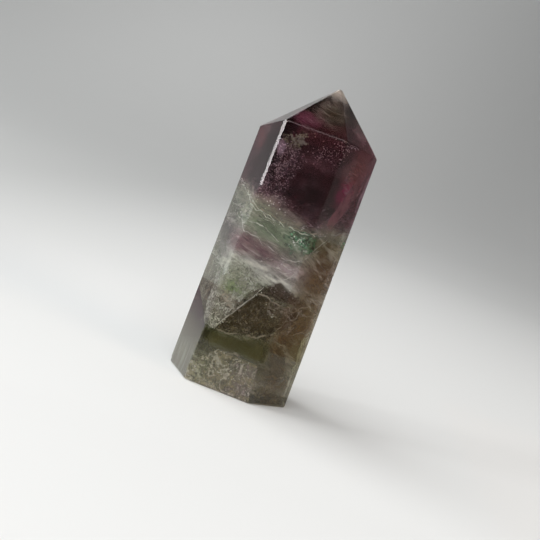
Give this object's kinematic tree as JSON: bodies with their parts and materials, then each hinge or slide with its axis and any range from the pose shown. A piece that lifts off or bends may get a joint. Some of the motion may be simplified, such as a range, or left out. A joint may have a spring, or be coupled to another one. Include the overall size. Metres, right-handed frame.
{
  "type": "fluorite point",
  "caption": "Polished crystal column with long flats, a faceted off-centre tip and a flat cut base to stand on.",
  "frame": {"origin": "middle of the box around the stone, in the plane of the flat base", "axes": "+Z along the column from the base to the tip, -Y out of the widest flat"},
  "size_m": [0.0276, 0.0228, 0.0697],
  "materials": {
    "fluorite": "polished, clear to milky, purple over green in cloudy bands, with white veils and cracks inside"
  },
  "bodies": {
    "root": {"fluorite_point": "fluorite"}
  },
  "joints": []
}
